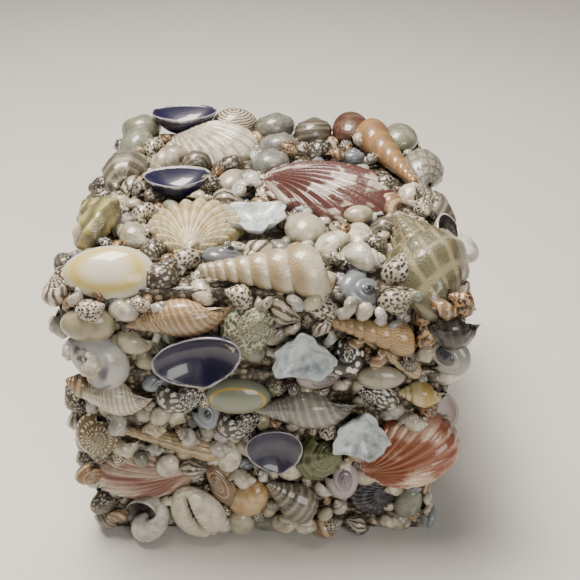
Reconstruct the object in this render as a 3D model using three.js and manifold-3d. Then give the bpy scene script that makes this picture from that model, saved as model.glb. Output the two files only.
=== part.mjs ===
// A keepsake box covered all over in sea shells: an open wooden box, a deep lid that lifts off,
// and the shells glued to both. Millimetres, +Z up, origin at the middle of the underside.
// The front faces -Y.
import * as THREE from 'three';
import { mergeVertices } from 'three/addons/utils/BufferGeometryUtils.js';
import Module from 'manifold-3d';

const wasm = await Module();
wasm.setup();

// ---------------------------------------------------------------- driving dimensions
const WIDTH = 96; // wood, left to right
const DEPTH = 98; // wood, front to back
const SEAM = 69; // where the lid meets the box
const LID_TOP = 93; // wood, top of the lid
const WALL = 4;
const FLOOR = 4;
const LIP_RISE = 5; // the box's inner lip, which centres the lid
const LIP_THICK = 2.4;
const LIP_PLAY = 0.6; // between the lip and the lid's walls
const GAP = 0.3; // between one piece and the next
const FINEST = 0.1; // slivers thinner than this are merged away after the cuts
const LIP_ROOT = 12; // how far below the seam the lip is glued to the walls
const ROW_ZERO = 5; // height of the zero that shells on the walls are placed from
const BED = 3; // layer of glue and the tiniest shells, which the others stand in
const SHELL_SEAM = 1; // the shells stop this far short of the seam, on each side of it
const REACH = 24; // further out from the wood than any shell

// ---------------------------------------------------------------- colours
const COLOURS = {
  wood: '#b98e5e', white: '#e6e3da', cream: '#ddd0b4', tan: '#b98f66', brown: '#8a684c', red: '#a4564a',
  orange: '#c8773f', purple: '#3a3358', grey: '#8f918e', black: '#3b3936', green: '#8c8d63', mixed: '#a39b8c',
};

// ---------------------------------------------------------------- faces that shells lie on
// A place on a face is (across, up, out): across runs to the right of someone looking at it.
function face(origin, out, up) {
  const outward = new THREE.Vector3(...out).normalize();
  const upward = new THREE.Vector3(...up).normalize();
  const across = new THREE.Vector3().crossVectors(upward, outward);
  return { origin: new THREE.Vector3(...origin), across, upward, outward };
}
const FACES = {
  top: face([0, 0, LID_TOP], [0, 0, 1], [0, 1, 0]),
  front: face([0, -DEPTH / 2, ROW_ZERO], [0, -1, 0], [0, 0, 1]),
  back: face([0, DEPTH / 2, ROW_ZERO], [0, 1, 0], [0, 0, 1]),
  left: face([-WIDTH / 2, 0, ROW_ZERO], [-1, 0, 0], [0, 0, 1]),
  right: face([WIDTH / 2, 0, ROW_ZERO], [1, 0, 0], [0, 0, 1]),
  front_top: face([0, -DEPTH / 2, LID_TOP], [0, -1, 1], [0, 1, 1]),
  left_top: face([-WIDTH / 2, 0, LID_TOP], [-1, 0, 1], [1, 0, 1]),
  right_top: face([WIDTH / 2, 0, LID_TOP], [1, 0, 1], [-1, 0, 1]),
  front_left: face([-WIDTH / 2, -DEPTH / 2, ROW_ZERO], [-1, -1, 0], [0, 0, 1]),
  front_right: face([WIDTH / 2, -DEPTH / 2, ROW_ZERO], [1, -1, 0], [0, 0, 1]),
};
const EDGE_SINK = 3; // a shell over an edge of the box sits this far into the corner

// ---------------------------------------------------------------- solids
function solidOf(geometry, matrix = new THREE.Matrix4()) {
  const bare = geometry.clone().applyMatrix4(matrix);
  bare.deleteAttribute('normal');
  bare.deleteAttribute('uv');
  const merged = mergeVertices(bare, 1e-3);
  const corners = merged.index.array;
  const faces = [];
  for (let i = 0; i < corners.length; i += 3) {
    const [a, b, c] = corners.slice(i, i + 3);
    if (a !== b && b !== c && c !== a) faces.push(a, b, c);
  }
  return new wasm.Manifold(new wasm.Mesh({
    numProp: 3,
    vertProperties: merged.attributes.position.array,
    triVerts: Uint32Array.from(faces),
  }));
}

function box(x0, x1, y0, y1, z0, z1) {
  const middle = new THREE.Matrix4().makeTranslation((x0 + x1) / 2, (y0 + y1) / 2, (z0 + z1) / 2);
  return solidOf(new THREE.BoxGeometry(x1 - x0, y1 - y0, z1 - z0), middle);
}

function largestBody(solid) {
  const bodies = solid.decompose();
  bodies.sort((a, b) => b.volume() - a.volume());
  return bodies[0];
}

function meshOf(name, solid, colour, roughness = 0.3) {
  const { vertProperties, triVerts } = solid.getMesh();
  const geometry = new THREE.BufferGeometry();
  geometry.setAttribute('position', new THREE.BufferAttribute(vertProperties, 3));
  geometry.setIndex(new THREE.BufferAttribute(triVerts, 1));
  geometry.computeVertexNormals();
  const material = new THREE.MeshStandardMaterial({ color: COLOURS[colour], roughness, metalness: 0 });
  const mesh = new THREE.Mesh(geometry, material);
  mesh.name = name;
  return mesh;
}

// ---------------------------------------------------------------- shell forms
// Each form is a unit shape: 1 long in X with its tip or hinge at +X, 1 wide in Y, and 1 high,
// from Z 0 where it lies on the box. Its plain version has no grooves, ribs or hollow, and is the
// room that neighbours leave for it.

// A coiled shell lying on its side: a lathe profile with a bulge for each whorl of the spire.
function coiled({ widest, mouth, whorls, step, sides, plain }) {
  const points = [new THREE.Vector2(0, -0.5)];
  if (mouth > 0) points.push(new THREE.Vector2(mouth / 2, -0.5));
  points.push(new THREE.Vector2(0.5, widest - 0.5));
  let rest = 1; // how much of the spire is still above this whorl
  for (let whorl = 0; whorl < whorls && !plain; whorl++) {
    const bulge = rest * (1 - (1 - step) / 4);
    rest *= step;
    if (whorl > 0) points.push(new THREE.Vector2(0.5 * bulge, 0.5 - (1 - widest) * bulge));
    points.push(new THREE.Vector2(0.42 * rest, 0.5 - (1 - widest) * rest));
  }
  points.push(new THREE.Vector2(0, 0.5));
  const geometry = new THREE.LatheGeometry(points, sides);
  geometry.rotateZ(-Math.PI / 2);
  geometry.translate(0, 0, 0.5);
  return geometry;
}

// A sphere's rings of points, each moved to where place(around, ring) puts it: around is the angle
// about Z from +X, and ring counts from 0 at the top of the sphere to rows at its bottom.
function reshaped(columns, rows, place) {
  const geometry = new THREE.SphereGeometry(1, columns, rows);
  geometry.rotateX(Math.PI / 2);
  const points = geometry.attributes.position;
  for (let i = 0; i < points.count; i++) {
    const around = Math.atan2(points.getY(i), points.getX(i));
    const down = Math.acos(THREE.MathUtils.clamp(points.getZ(i), -1, 1)) / Math.PI;
    points.setXYZ(i, ...place(around, Math.round(down * rows)));
  }
  return geometry;
}

// A round shell, such as a moon snail or a nerite: its outline steps out where the mouth ends.
function round({ columns, rows, spiral }) {
  const lean = 0.12;
  return reshaped(columns, rows, (around, ring) => {
    const turn = ((around + Math.PI) / (2 * Math.PI)) % 1;
    const spread = Math.sin((ring / rows) * Math.PI);
    const outline = 0.5 * spread * (1 - spiral * (1 - turn) * spread);
    const height = 0.5 + 0.5 * Math.cos((ring / rows) * Math.PI);
    return [outline * Math.cos(around) + lean * (height - 0.5), outline * Math.sin(around), height];
  });
}

// A cowrie lying mouth up, with the long slit between its lips.
function cowrieMouth({ plain }) {
  const rows = 6;
  return reshaped(12, rows, (around, ring) => {
    const spread = 0.5 * Math.sin((ring / rows) * Math.PI);
    const x = spread * Math.cos(around);
    const y = spread * Math.sin(around) * (1 + 0.2 * Math.cos(around));
    const height = 0.5 + 0.5 * Math.cos((ring / rows) * Math.PI);
    const slit = !plain && ring < rows / 2 && Math.abs(y) < 0.1 ? 0.25 : 0;
    return [x, y, height - slit];
  });
}

// A scallop or cockle: ribs fan out from the hinge at +X over an arched back.
function ribbed({ ribs, plain }) {
  const hinge = 0.42;
  const groove = plain ? 0 : 0.14;
  const reaches = [0, 0.5, 0.82, 1, 0]; // from the hinge to the rim, and back under the shell
  const columns = plain ? ribs : ribs * 2;
  const swell = plain ? 1.03 / Math.cos(Math.PI / columns) : 1; // the plain one's flats clear the ribs
  return reshaped(columns, reaches.length - 1, (around, ring) => {
    const reach = reaches[ring];
    const rimX = 0.5 * Math.cos(around);
    const rimY = 0.5 * Math.sin(around) * (1 - 0.16 * Math.cos(around));
    const x = hinge + (rimX - hinge) * reach;
    const y = rimY * reach;
    const inside = Math.max(0, 1 - (2 * x) ** 2 - (2 * y) ** 2);
    const crest = Math.cos(around * ribs) > 0 ? 1 : 1 - groove * Math.min(1, reach * 1.5);
    const back = (0.1 + 0.9 * Math.sqrt(inside)) * crest;
    return [x * swell, y * swell, ring < 3 ? back * swell : 0];
  });
}

// A clam's inside or a broken limpet: a dish, open side out. jag makes its rim uneven.
function dish({ columns, jag, plain }) {
  const floor = 0.3;
  const reaches = [0, 0.5, 0.8, 1, 0.6, 0]; // out to the rim over the inside, and back under it
  return reshaped(columns, reaches.length - 1, (around, ring) => {
    const reach = reaches[ring];
    const edge = 0.5 * (1 + jag * (Math.sin(3 * around + 1) + 0.8 * Math.sin(5 * around + 2)));
    const x = edge * Math.cos(around) * reach;
    const y = edge * Math.sin(around) * (1 - 0.16 * Math.cos(around)) * reach;
    const rim = 1 + 1.5 * jag * Math.sin(4 * around);
    const inner = plain ? rim : floor + (rim - floor) * reach ** 2;
    return [x, y, ring <= 3 ? inner : 0.5 * rim * reach ** 2];
  });
}

// ---------------------------------------------------------------- kinds of shell
// high is the height as a share of the width.
const KINDS = {
  auger: { shape: coiled, widest: 0.16, mouth: 0.5, whorls: 4, step: 0.68, sides: 7, high: 0.95 },
  whelk: { shape: coiled, widest: 0.45, mouth: 0.24, whorls: 3, step: 0.62, sides: 7, high: 0.85 },
  conch: { shape: coiled, widest: 0.5, mouth: 0, whorls: 0, step: 0.5, sides: 6, high: 0.85 },
  nassa: { shape: coiled, widest: 0.38, mouth: 0, whorls: 0, step: 0.5, sides: 6, high: 0.9 },
  moon: { shape: round, columns: 8, rows: 4, spiral: 0.18, high: 0.72 },
  button: { shape: round, columns: 6, rows: 3, spiral: 0.12, high: 0.72 },
  egg: { shape: round, columns: 6, rows: 3, spiral: 0.04, high: 0.75 },
  cowrie: { shape: round, columns: 9, rows: 4, spiral: 0.03, high: 0.66 },
  cowrie_mouth: { shape: cowrieMouth, high: 0.55 },
  scallop: { shape: ribbed, ribs: 10, high: 0.33 },
  cockle: { shape: ribbed, ribs: 9, high: 0.36 },
  clam: { shape: dish, columns: 11, jag: 0, high: 0.34 },
  chip: { shape: dish, columns: 11, jag: 0.07, high: 0.42 },
  flake: { shape: dish, columns: 11, jag: 0.07, high: 0.24 },
};
for (const kind of Object.values(KINDS)) {
  kind.form = kind.shape(kind);
  kind.room = kind.shape({ ...kind, plain: true });
}

// ---------------------------------------------------------------- the shells
// name, kind, face, across, up, way its tip or hinge points (degrees from across), length, width,
// colour, rise from the face
const LARGE_SHELLS = [
  // over the front edge of the lid
  ['cream_auger_shell', 'auger', 'front_top', 2, 5, 180, 38, 15, 'cream', -EDGE_SINK],
  ['gold_ring_cowrie', 'cowrie', 'front_top', -41, 5, 180, 25, 15, 'white', -EDGE_SINK],
  // lid, front
  ['brown_whelk_shell', 'whelk', 'front', -21.5, 83.5, 193, 31, 12, 'tan', GAP],
  ['lid_purple_clam_shell', 'clam', 'front', -17, 72, -75, 17, 25, 'purple', 3],
  ['zigzag_nerite_shell', 'moon', 'front', -45, 69, 150, 18, 16, 'grey', GAP],
  ['cream_bubble_shell', 'cowrie', 'front', -47, 80.5, 180, 15, 11, 'cream', GAP],
  ['rough_turban_shell', 'moon', 'front', -4, 80.5, 60, 17, 15, 'green', GAP],
  ['lid_white_limpet_shell', 'chip', 'front', 12, 72.5, 90, 16, 18, 'white', 2],
  ['spotted_black_nerite_shell', 'moon', 'front', 23.5, 69.5, 90, 12, 11, 'black', GAP],
  ['brown_auger_shell', 'auger', 'front', 31, 78.5, 165, 28, 10, 'tan', GAP],
  ['thin_auger_shell', 'auger', 'front', 37, 68.5, 145, 22, 5.5, 'cream', 1],
  ['grey_button_shell', 'moon', 'front', 52, 70, 150, 12, 12, 'grey', GAP],
  ['black_whelk_shell', 'whelk', 'front', 51, 79.5, 190, 18, 12, 'black', GAP],
  // lid, top
  ['cream_fan_cockle_shell', 'cockle', 'top', -20, -21, -93, 30, 30, 'cream', GAP],
  ['top_white_limpet_shell', 'flake', 'top', -3, -22, -80, 18, 21, 'white', 4],
  ['beige_dome_shell', 'cowrie', 'top', 12, -23, 120, 14, 12, 'cream', GAP],
  ['red_scallop_shell', 'scallop', 'top', 19.5, 2, 165, 49, 35, 'red', GAP],
  ['white_cockle_shell', 'cockle', 'top', -19.5, 40, 160, 34, 29, 'cream', GAP],
  ['top_purple_clam_shell', 'clam', 'top', -28, 1, -85, 15, 21, 'purple', 3],
  ['back_purple_clam_shell', 'clam', 'top', -31, 49, -85, 16, 24, 'purple', 4],
  ['orange_turret_shell', 'auger', 'top', 41, 27, -73, 50, 13, 'orange', GAP],
  ['dark_cone_shell', 'cowrie', 'top', 30, 50, 90, 20, 14, 'brown', GAP],
  ['grey_moon_shell', 'moon', 'top', 1, 22, 90, 15, 13, 'grey', GAP],
  ['grey_dome_shell', 'moon', 'top', 4, 36, 70, 14, 13, 'grey', GAP],
  // over the lid's right and left edges
  ['green_frog_shell', 'whelk', 'right_top', -37, 2, 35, 40, 24, 'green', -8],
  ['white_mouthed_moon_shell', 'moon', 'right_top', -20, -4, 90, 17, 15, 'white', 1],
  ['grey_murex_shell', 'whelk', 'right_top', -5, -1, 80, 22, 12, 'grey', -1],
  ['netted_barrel_shell', 'whelk', 'right_top', 19, 0, 0, 33, 16, 'grey', -EDGE_SINK],
  ['yellow_turban_shell', 'moon', 'left_top', 19, 1, 200, 30, 20, 'green', -4],
  ['rough_grey_whelk_shell', 'whelk', 'left_top', -16, 2, 180, 34, 17, 'grey', -5],
  ['grey_green_dome_shell', 'cowrie', 'left_top', -41, 2, 170, 18, 14, 'green', -EDGE_SINK],
  // box, front
  ['striped_whelk_shell', 'whelk', 'front', -43, 55.5, 172, 24, 12, 'cream', GAP],
  ['gold_line_cowrie', 'cowrie', 'front', -7, 54.5, 0, 19, 12, 'green', GAP],
  ['grey_ribbed_whelk_shell', 'whelk', 'front', 13, 51, 185, 31, 13, 'grey', GAP],
  ['orange_scallop_shell', 'scallop', 'front', 44, 31, 205, 33, 30, 'orange', GAP],
  ['box_white_limpet_shell', 'chip', 'front', 29.5, 44, 80, 18, 17, 'white', 4],
  ['box_purple_clam_shell', 'clam', 'front', 3.5, 35.5, -80, 18, 17, 'purple', 3],
  ['green_turban_shell', 'moon', 'front', 16.5, 31, 60, 17, 14, 'green', GAP],
  ['beaded_top_shell', 'moon', 'front', -50, 40, 90, 14, 13, 'brown', GAP],
  ['long_cream_auger_shell', 'auger', 'front', -29, 36.5, 163, 36, 8, 'cream', GAP],
  ['pink_striped_scallop_shell', 'scallop', 'front', -37, 20, 12, 35, 21, 'cream', GAP],
  ['box_white_moon_shell', 'moon', 'front', -38, 5, 60, 17, 15, 'white', 1],
  ['toothed_cowrie', 'cowrie_mouth', 'front', -22, 7.5, 110, 23, 17, 'cream', 2],
  ['ribbed_cone_shell', 'whelk', 'front', 9, 13, 140, 23, 14, 'grey', GAP],
  ['grey_cockle_shell', 'cockle', 'front', 34, 10.5, 40, 17, 16, 'grey', GAP],
  // the sides and back of the box
  ['left_side_scallop_shell', 'scallop', 'left', 6, 30, 60, 30, 30, 'cream', GAP],
  ['right_side_scallop_shell', 'scallop', 'right', -4, 32, 120, 30, 30, 'red', GAP],
  ['back_scallop_shell', 'scallop', 'back', 10, 30, 75, 32, 32, 'orange', GAP],
];

// kind, face, across, up, way the tip points, length, width
const SMALL_SHELLS = [
  // lid, front
  ['nassa', 'front', -36, 74, 180, 14, 8],
  ['conch', 'front', -37, 85, 35, 12, 8],
  ['conch', 'front', -33, 67.5, 145, 12, 7],
  ['conch', 'front_left', -7, 79, -100, 11, 8],
  ['button', 'front', 16, 62, 0, 13, 9],
  ['egg', 'front', 34, 61, 0, 14, 8],
  ['nassa', 'front', 44, 83, 120, 11, 7],
  ['nassa', 'front', 54, 87, 150, 10, 8],
  ['nassa', 'front', 17, 85, 0, 12, 7],
  ['nassa', 'front', 6, 85, -30, 12, 8],
  ['nassa', 'front', -5, 89, 160, 10, 8],
  ['nassa', 'front', 36, 88, 30, 11, 8],
  ['conch', 'front', 46, 71, -70, 9, 7],
  // over the lid's front edge
  ['button', 'front_top', 27, 1, 0, 12, 11],
  ['conch', 'front_top', 27, 10, 0, 14, 9],
  ['nassa', 'front_top', -27, 4, 60, 13, 10],
  ['conch', 'front_top', -16, 0, 0, 13, 8],
  ['nassa', 'front_top', 37, 6, 70, 12, 9],
  // lid, top
  ['button', 'top', -11, -38, 40, 12, 11],
  ['nassa', 'top', -37, -12, 100, 13, 8],
  ['conch', 'top', -38, -26, 150, 16, 9],
  ['nassa', 'top', -31, -34, 120, 13, 8],
  ['nassa', 'top', -21, -40, 90, 11, 9],
  ['egg', 'top', 28, -26, 90, 15, 9],
  ['conch', 'top', 20, -33, 90, 14, 11],
  ['nassa', 'top', 36, -22, 60, 12, 9],
  ['conch', 'top', 46, 0, 90, 14, 9],
  ['egg', 'top', -11, 9, 70, 13, 10],
  ['nassa', 'top', -24, 22, 80, 14, 10],
  ['nassa', 'top', -35, 22, 90, 14, 10],
  ['conch', 'top', -13, 21, 60, 15, 9],
  ['button', 'top', 29, 28, 80, 11, 10],
  ['nassa', 'top', 18, 31, 90, 14, 10],
  ['nassa', 'top', -41, 37, 100, 14, 8],
  ['nassa', 'top', -43, 6, 80, 14, 8],
  ['egg', 'top', 47, 42, 90, 16, 13],
  // the row along the lid's back edge
  ['egg', 'top', -13, 53, 0, 17, 15],
  ['moon', 'top', 2, 51, 90, 16, 15],
  ['moon', 'top', 16, 48, 90, 16, 14],
  ['moon', 'top', -47, 51, 90, 15, 14],
  // box, front
  ['nassa', 'front', -52, 58, 160, 10, 8],
  ['moon', 'front', -24, 54.5, 10, 14, 11],
  ['moon', 'front', 33.5, 54, 165, 13, 9],
  ['nassa', 'front', 46, 55.5, 180, 14, 9],
  ['clam', 'front', 54, 47, 90, 15, 8],
  ['button', 'front', -17, 47, 90, 10, 9],
  ['moon', 'front', -7.5, 44, 20, 13, 11],
  ['conch', 'front', -26, 46, 130, 10, 7],
  ['conch', 'front', -35, 47, 60, 11, 7],
  ['conch', 'front', -42, 33, 210, 9, 8],
  ['egg', 'front', -11, 29, 90, 13, 8],
  ['egg', 'front', -5, 12, 60, 16, 12],
  ['button', 'front', 24, 20, 90, 13, 11],
  ['egg', 'front', 46, 9, 80, 14, 9],
  ['button', 'front', -55, 21, 0, 9, 8],
  ['button', 'front', -52, 8, 0, 9, 9],
];

// The hidden sides, and the rest of the top, are strewn with small shells, widest first.
const STREWN_SIZES = [15, 12]; // lengths tried
const STREWN_TRIES = 10; // throws for each length
const BALL_LIFT = 0.35; // a ball's middle above the face, as a share of the shell's width
const CROWDING = 0.96; // how near two balls may come, as a share of their radii together
const STREWN_SLIM = 0.75; // width as a share of the length
const STREWN_KINDS = ['nassa', 'conch', 'button', 'egg', 'nassa', 'moon'];

// ---------------------------------------------------------------- placing
function matrixOn(faceName, across, up, turn, rise, size) {
  const side = FACES[faceName];
  const matrix = new THREE.Matrix4().makeBasis(side.across, side.upward, side.outward);
  matrix.setPosition(side.origin);
  matrix.multiply(new THREE.Matrix4().makeTranslation(across, up, rise));
  matrix.multiply(new THREE.Matrix4().makeRotationZ(THREE.MathUtils.degToRad(turn)));
  return matrix.multiply(new THREE.Matrix4().makeScale(...size));
}

function shellSolid(kindName, faceName, across, up, turn, length, width, rise) {
  const kind = KINDS[kindName];
  const size = [length, width, width * kind.high];
  return solidOf(kind.form, matrixOn(faceName, across, up, turn, rise, size));
}

// The room that a shell takes up, with the gap to its neighbours all round.
function roomFor(kindName, faceName, across, up, turn, length, width, rise) {
  const kind = KINDS[kindName];
  const size = [length + 2 * GAP, width + 2 * GAP, width * kind.high + 2 * GAP];
  return solidOf(kind.room, matrixOn(faceName, across, up, turn, rise - GAP, size));
}

// Balls along a shell's length, which stand for it when its neighbours are placed.
function ballsOf(faceName, across, up, turn, length, width) {
  const count = Math.max(1, Math.round(length / width));
  const radius = count === 1 ? (length + width) / 4 : width / 2;
  const matrix = matrixOn(faceName, across, up, turn, width * BALL_LIFT, [1, 1, 1]);
  const balls = [];
  for (let i = 0; i < count; i++) {
    const along = count === 1 ? 0 : (i / (count - 1) - 0.5) * (length - width);
    balls.push({ centre: new THREE.Vector3(along, 0, 0).applyMatrix4(matrix), radius });
  }
  return balls;
}

// A repeatable run of numbers from 0 to 1.
function numbersFrom(seed) {
  let state = seed;
  return () => {
    state = (state * 16807) % 2147483647;
    return state / 2147483647;
  };
}

// ---------------------------------------------------------------- wood
function slice(z0, z1) {
  return box(-WIDTH, WIDTH, -DEPTH, DEPTH, z0, z1);
}

// A block that stands this far in from the box's outside, all round.
function block(inset, z0, z1) {
  const x = WIDTH / 2 - inset;
  const y = DEPTH / 2 - inset;
  return box(-x, x, -y, y, z0, z1);
}
const blank = block(0, 0, LID_TOP);
const cavity = block(WALL, FLOOR, LID_TOP - WALL);
const lipHollow = block(WALL + LIP_PLAY + LIP_THICK, 0, LID_TOP);
const lip = block(WALL + LIP_PLAY, SEAM - LIP_ROOT, SEAM + LIP_RISE).subtract(lipHollow);
const lipRoot = block(WALL / 2, SEAM - LIP_ROOT, SEAM - GAP).subtract(lipHollow);
const boxBody = blank.subtract(cavity).intersect(slice(0, SEAM - GAP)).add(lip).add(lipRoot);
const lidWood = blank.subtract(cavity).intersect(slice(SEAM, LID_TOP));

// ---------------------------------------------------------------- regions for the small shells
// A block that lies on a face from one height to another, with its mitred sides running out at
// 45 degrees, so that blocks on neighbouring faces meet at the box's edges.
function mitred(region, from, to) {
  const { faceName, left, right, low, high, mitredLow, mitredHigh } = region;
  const side = FACES[faceName];
  const geometry = new THREE.BoxGeometry(1, 1, 1);
  const points = geometry.attributes.position;
  for (let i = 0; i < points.count; i++) {
    const out = points.getZ(i) > 0 ? to : from;
    const spread = out - GAP;
    const across = points.getX(i) > 0 ? right + spread : left - spread;
    const up = points.getY(i) > 0 ? high + (mitredHigh ? spread : 0) : low - (mitredLow ? spread : 0);
    const place = side.origin.clone().addScaledVector(side.across, across)
      .addScaledVector(side.upward, up).addScaledVector(side.outward, out);
    points.setXYZ(i, ...place.toArray());
  }
  return solidOf(geometry);
}

function wallRegion(name, faceName, onLid, seed) {
  const half = (faceName === 'front' || faceName === 'back' ? WIDTH : DEPTH) / 2;
  return {
    name: `${name}_small_shells`, faceName, left: -half, right: half, seed,
    low: (onLid ? SEAM + SHELL_SEAM : GAP) - ROW_ZERO, high: (onLid ? LID_TOP : SEAM - SHELL_SEAM) - ROW_ZERO,
    mitredLow: false, mitredHigh: onLid,
  };
}
const REGIONS = [
  {
    name: 'lid_top_small_shells', faceName: 'top', left: -WIDTH / 2, right: WIDTH / 2, seed: 11,
    low: -DEPTH / 2, high: DEPTH / 2, mitredLow: true, mitredHigh: true,
  },
  wallRegion('lid_front', 'front', true, 12),
  wallRegion('lid_back', 'back', true, 13),
  wallRegion('lid_left', 'left', true, 14),
  wallRegion('lid_right', 'right', true, 15),
  wallRegion('box_front', 'front', false, 16),
  wallRegion('box_back', 'back', false, 17),
  wallRegion('box_left', 'left', false, 18),
  wallRegion('box_right', 'right', false, 19),
];

// ---------------------------------------------------------------- assembly
const shellBox = new THREE.Group();
shellBox.add(meshOf('box_body', boxBody, 'wood', 0.6));
shellBox.add(meshOf('lid', lidWood, 'wood', 0.6));

const clearedWood = box(
  -WIDTH / 2 - GAP, WIDTH / 2 + GAP, -DEPTH / 2 - GAP, DEPTH / 2 + GAP, -REACH, LID_TOP + GAP,
).add(slice(-REACH, GAP));

const taken = []; // the room of each large shell so far
const balls = [];
for (const [name, kind, faceName, across, up, turn, length, width, colour, rise] of LARGE_SHELLS) {
  const place = [kind, faceName, across, up, turn, length, width, rise];
  let shell = shellSolid(...place).subtract(clearedWood);
  for (const neighbour of taken) shell = shell.subtract(neighbour);
  shellBox.add(meshOf(name, largestBody(shell).simplify(FINEST), colour));
  taken.push(roomFor(...place));
  balls.push(...ballsOf(faceName, across, up, turn, length, width));
}
for (const [, faceName, across, up, turn, length, width] of SMALL_SHELLS) {
  balls.push(...ballsOf(faceName, across, up, turn, length, width));
}

function strewnOn(region) {
  const next = numbersFrom(region.seed);
  const placed = [];
  for (const length of STREWN_SIZES) {
    const width = length * STREWN_SLIM;
    for (let i = 0; i < STREWN_TRIES; i++) {
      const across = region.left + (region.right - region.left) * next();
      const up = region.low + length / 2 + (region.high - region.low - length) * next();
      const turn = 360 * next();
      const kind = STREWN_KINDS[Math.floor(STREWN_KINDS.length * next())];
      const [ball] = ballsOf(region.faceName, across, up, turn, length, width);
      const blocked = balls.some((other) => {
        return other.centre.distanceTo(ball.centre) < (other.radius + ball.radius) * CROWDING;
      });
      if (blocked) continue;
      balls.push(ball);
      placed.push([kind, region.faceName, across, up, turn, length, width]);
    }
  }
  return placed;
}

for (const region of REGIONS) {
  const strewn = strewnOn(region);
  let cluster = mitred(region, GAP, GAP + BED);
  for (const [kind, faceName, across, up, turn, length, width] of [...SMALL_SHELLS, ...strewn]) {
    const rise = faceName.includes('_') ? -EDGE_SINK : GAP;
    cluster = cluster.add(shellSolid(kind, faceName, across, up, turn, length, width, rise));
  }
  cluster = cluster.intersect(mitred(region, GAP, REACH)).subtract(clearedWood);
  for (const neighbour of taken) cluster = cluster.subtract(neighbour);
  shellBox.add(meshOf(region.name, largestBody(cluster).simplify(FINEST), 'mixed'));
}

export default shellBox;
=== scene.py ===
# %% [markdown]
# # A keepsake box covered in sea shells
# The real thing is a plain wooden box with a deep lid that lifts off. Its maker glued hundreds of
# sea shells to the outside, big ones first and small ones in the gaps, and brushed clear gloss
# varnish over them all. The solids already hold the wood and where each shell lies. This lesson
# grows real shells in those places.

# %% Load the frame
import math
import bmesh
import bpy
from mathutils import Matrix, Vector, noise


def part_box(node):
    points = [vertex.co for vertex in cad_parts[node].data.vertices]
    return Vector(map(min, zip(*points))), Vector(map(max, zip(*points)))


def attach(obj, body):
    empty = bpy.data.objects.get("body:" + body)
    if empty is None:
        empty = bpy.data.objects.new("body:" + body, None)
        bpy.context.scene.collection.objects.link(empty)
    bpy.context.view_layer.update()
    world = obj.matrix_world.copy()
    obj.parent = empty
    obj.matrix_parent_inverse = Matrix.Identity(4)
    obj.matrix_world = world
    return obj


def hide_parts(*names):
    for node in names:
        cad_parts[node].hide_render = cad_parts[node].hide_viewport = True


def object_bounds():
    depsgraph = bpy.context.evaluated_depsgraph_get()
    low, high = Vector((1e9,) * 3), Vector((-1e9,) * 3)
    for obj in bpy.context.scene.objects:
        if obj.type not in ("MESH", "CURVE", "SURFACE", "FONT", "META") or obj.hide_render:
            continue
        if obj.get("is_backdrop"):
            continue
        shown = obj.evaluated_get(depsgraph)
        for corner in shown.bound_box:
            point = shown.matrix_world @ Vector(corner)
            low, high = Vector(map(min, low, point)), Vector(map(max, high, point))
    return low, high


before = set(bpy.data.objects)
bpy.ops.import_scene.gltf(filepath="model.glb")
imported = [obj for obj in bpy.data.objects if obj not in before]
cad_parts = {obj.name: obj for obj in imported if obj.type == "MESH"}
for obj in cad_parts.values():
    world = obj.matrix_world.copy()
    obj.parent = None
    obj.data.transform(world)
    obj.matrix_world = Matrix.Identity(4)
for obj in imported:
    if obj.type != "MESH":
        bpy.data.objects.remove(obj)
cad_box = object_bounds()
MM = 0.001
print("solids:", len(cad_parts), "box:", cad_box)

# %% [markdown]
# ## Camera
# The box is seen from in front and well above, as someone sees it who stands at the table.
# The lens is a short telephoto, so the front looks only a little wider at its top than at its foot.

# %% Place the camera
CAMERA_PLACE = Vector((8.5, -228, 216)) * MM
LOOKING_DOWN = 34.3  # degrees below level
LENS_MM = 49.8  # on a 36 mm sensor

camera_data = bpy.data.cameras.new("camera")
camera_data.lens = LENS_MM
camera_data.sensor_width = 36
camera_data.clip_start = 0.01
camera = bpy.data.objects.new("camera", camera_data)
camera.location = CAMERA_PLACE
camera.rotation_euler = (math.radians(90 - LOOKING_DOWN), 0, math.radians(0.2))
bpy.context.collection.objects.link(camera)
bpy.context.scene.camera = camera
print("camera at", tuple(camera.location))

# %% [markdown]
# ## Faces of the box
# Every shell lies on a face: the top, a wall, or the 45 degree plane over an edge. A shell's place
# is then three plain numbers, across, up and out. The faces come from the wooden solids, so a
# change of the box's size moves every shell with it.

# %% Measure the wood and name its faces
low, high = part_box("box_body")
lid_low, lid_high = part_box("lid")
SEAM = lid_low[2] / MM
TOP = lid_high[2] / MM
HALF_WIDTH = high[0] / MM
HALF_DEPTH = high[1] / MM
ROW_ZERO = 5  # height of the zero that shells on the walls are placed from


def face(origin, out, up):
    """A face's matrix: X runs across it, Y up it and Z out from it."""
    outward = Vector(out).normalized()
    upward = Vector(up).normalized()
    across = upward.cross(outward)
    matrix = Matrix((across, upward, outward)).transposed().to_4x4()
    matrix.translation = Vector(origin)
    return matrix


UPRIGHT = (0, 0, 1)
SIDES = {"front": (0, -1), "back": (0, 1), "left": (-1, 0), "right": (1, 0)}  # the way each looks
FACES = {"top": face((0, 0, TOP), UPRIGHT, (0, 1, 0))}
for side, (x, y) in SIDES.items():
    FACES[side] = face((x * HALF_WIDTH, y * HALF_DEPTH, ROW_ZERO), (x, y, 0), UPRIGHT)
    FACES[side + "_top"] = face((x * HALF_WIDTH, y * HALF_DEPTH, TOP), (x, y, 1), (-x, -y, 1))
for end in ("front", "back"):
    for side in ("left", "right"):
        x, y = SIDES[side][0], SIDES[end][1]
        FACES[end + "_" + side] = face((x * HALF_WIDTH, y * HALF_DEPTH, ROW_ZERO), (x, y, 0), UPRIGHT)


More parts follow.
